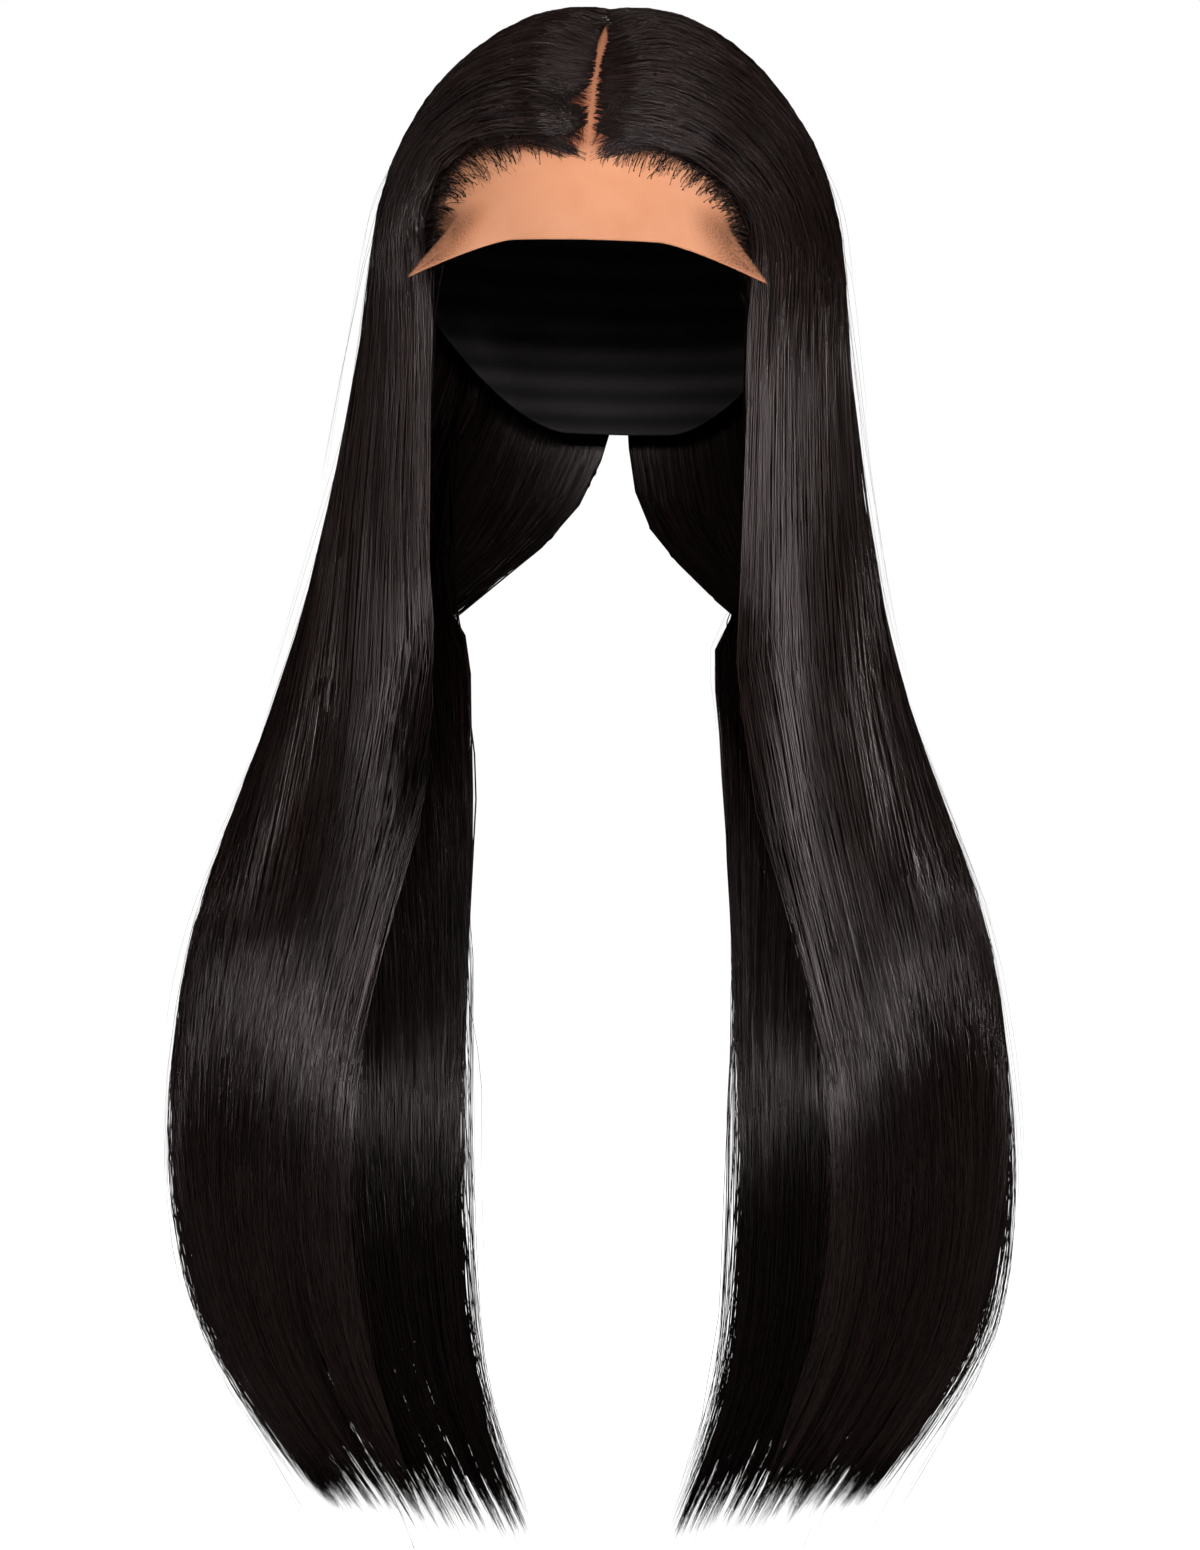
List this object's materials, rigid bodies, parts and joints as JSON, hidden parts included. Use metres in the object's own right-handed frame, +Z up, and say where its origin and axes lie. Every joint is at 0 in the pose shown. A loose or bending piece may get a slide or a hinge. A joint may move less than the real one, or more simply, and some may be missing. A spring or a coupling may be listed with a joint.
{
  "type": "straight lace-front wig",
  "caption": "Long straight black wig with a centre parting, on a stretch-net cap with a sheer lace front, its hair falling forward over both shoulders.",
  "frame": {"origin": "inside the cap at its crown, where the top of the head sits", "axes": "+Z up, the wearer faces -Y, +X to the wearer's left and the viewer's right"},
  "size_m": [0.3455, 0.231, 0.6231],
  "materials": {
    "stretch_net": "matte black stretch net",
    "lace": "sheer tan lace net",
    "hair": "satin near-black straight hair"
  },
  "bodies": {
    "root": {"cap": "stretch_net", "lace_front": "lace", "hair_front_left": "hair", "hair_front_right": "hair", "hair_back_left": "hair", "hair_back_right": "hair"}
  },
  "joints": []
}
